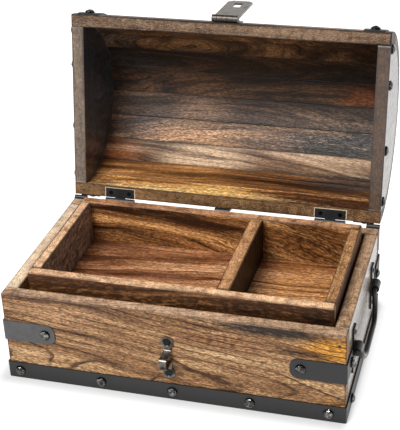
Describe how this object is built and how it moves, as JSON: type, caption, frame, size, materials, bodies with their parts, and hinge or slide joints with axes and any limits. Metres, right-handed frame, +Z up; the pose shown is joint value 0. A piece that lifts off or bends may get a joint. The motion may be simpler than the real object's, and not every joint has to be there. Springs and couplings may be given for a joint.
{
  "type": "treasure chest",
  "caption": "Small wooden treasure chest with a hinged barrel lid, iron bands and straps with dome nails, hasp and staple, drop handles and a divided lift-out tray.",
  "frame": {"origin": "middle of the underside of the base, on the surface that the chest stands on", "axes": "+X to the chest's right seen from the front, +Y to the back where the lid is hinged, +Z up"},
  "size_m": [0.2974, 0.2845, 0.2522],
  "materials": {
    "wood_base_front": "satin oiled",
    "wood_base_back": "satin oiled",
    "wood_base_ends": "satin oiled",
    "wood_base_bottom": "matte",
    "wood_tray_rests": "matte",
    "wood_lid_front_rail": "satin oiled",
    "wood_lid_back_rail": "satin oiled",
    "wood_lid_staves": "satin oiled",
    "wood_lid_ends": "satin oiled",
    "wood_tray_long": "satin oiled",
    "wood_tray_ends": "satin oiled",
    "wood_tray_divider": "satin oiled",
    "wood_tray_floor": "satin oiled",
    "iron_band": "matte black paint",
    "iron_straps": "matte black paint",
    "iron_lid_bands": "matte black paint",
    "iron_nails": "gloss black paint",
    "board_nail_heads": "dull dark",
    "hinge_iron": "satin black paint",
    "stop_iron": "satin black paint",
    "handle_iron": "satin black paint",
    "hasp_steel": "antiqued",
    "staple_steel": "antiqued",
    "screw_steel": "antiqued"
  },
  "bodies": {
    "base": {"base_back_panel": "wood_base_back", "base_bottom_board": "wood_base_bottom", "base_front_panel": "wood_base_front", "base_left_end": "wood_base_ends", "base_right_end": "wood_base_ends", "board_nails": "board_nail_heads", "bottom_band": "iron_band", "bottom_band_nails": "iron_nails", "corner_irons": "stop_iron", "handle_mount_nails": "handle_iron", "hasp_staple": "staple_steel", "hinge_base_screws": "screw_steel", "hinge_pins": "hinge_iron", "left_handle_back_mount": "handle_iron", "left_handle_front_mount": "handle_iron", "left_hinge_base_leaf": "hinge_iron", "left_tray_rest": "wood_tray_rests", "lid_stop": "stop_iron", "lid_stop_screws": "screw_steel", "right_handle_back_mount": "handle_iron", "right_handle_front_mount": "handle_iron", "right_hinge_base_leaf": "hinge_iron", "right_tray_rest": "wood_tray_rests", "staple_screws": "screw_steel", "strap_back_left": "iron_straps", "strap_back_right": "iron_straps", "strap_front_left": "iron_straps", "strap_front_right": "iron_straps", "strap_nails": "iron_nails"},
    "lid": {"lid_front_rail": "wood_lid_front_rail", "lid_back_rail": "wood_lid_back_rail", "lid_stave_1": "wood_lid_staves", "lid_stave_2": "wood_lid_staves", "lid_stave_3": "wood_lid_staves", "lid_stave_4": "wood_lid_staves", "lid_stave_5": "wood_lid_staves", "lid_stave_6": "wood_lid_staves", "lid_stave_7": "wood_lid_staves", "lid_stave_8": "wood_lid_staves", "lid_left_end": "wood_lid_ends", "lid_right_end": "wood_lid_ends", "lid_left_band": "iron_lid_bands", "lid_right_band": "iron_lid_bands", "lid_band_nails": "iron_nails", "lid_end_nails": "iron_nails", "left_hinge_lid_leaf": "hinge_iron", "right_hinge_lid_leaf": "hinge_iron", "hinge_lid_screws": "screw_steel", "hasp_leaf": "hasp_steel", "hasp_leaf_nails": "iron_nails", "hasp_pin": "hasp_steel"},
    "hasp": {"hasp_flap": "hasp_steel"},
    "tray": {"tray_front": "wood_tray_long", "tray_back": "wood_tray_long", "tray_left_end": "wood_tray_ends", "tray_right_end": "wood_tray_ends", "tray_divider": "wood_tray_divider", "tray_floor": "wood_tray_floor"},
    "left_handle": {"left_bail": "handle_iron"},
    "right_handle": {"right_bail": "handle_iron"}
  },
  "joints": [
    {"name": "lid_hinge", "type": "hinge", "parent": "base", "child": "lid", "pos_m": [0, 0.0852, 0.08125], "axis": [-1, 0, 0], "range_deg": [-100.5, 0]},
    {"name": "hasp_hinge", "type": "hinge", "parent": "lid", "child": "hasp", "pos_m": [0, 0.11859, 0.24907], "axis": [-1, 0, 0], "range_deg": [-174, 0]},
    {"name": "tray_lift", "type": "slide", "parent": "base", "child": "tray", "axis": [0, 0, 1], "range_m": [0, 0.06]},
    {"name": "left_handle_swing", "type": "hinge", "parent": "base", "child": "left_handle", "pos_m": [-0.14375, 0, 0.049], "axis": [0, 1, 0], "range_deg": [-7, 173]},
    {"name": "right_handle_swing", "type": "hinge", "parent": "base", "child": "right_handle", "pos_m": [0.14375, 0, 0.049], "axis": [0, -1, 0], "range_deg": [-7, 173]}
  ]
}
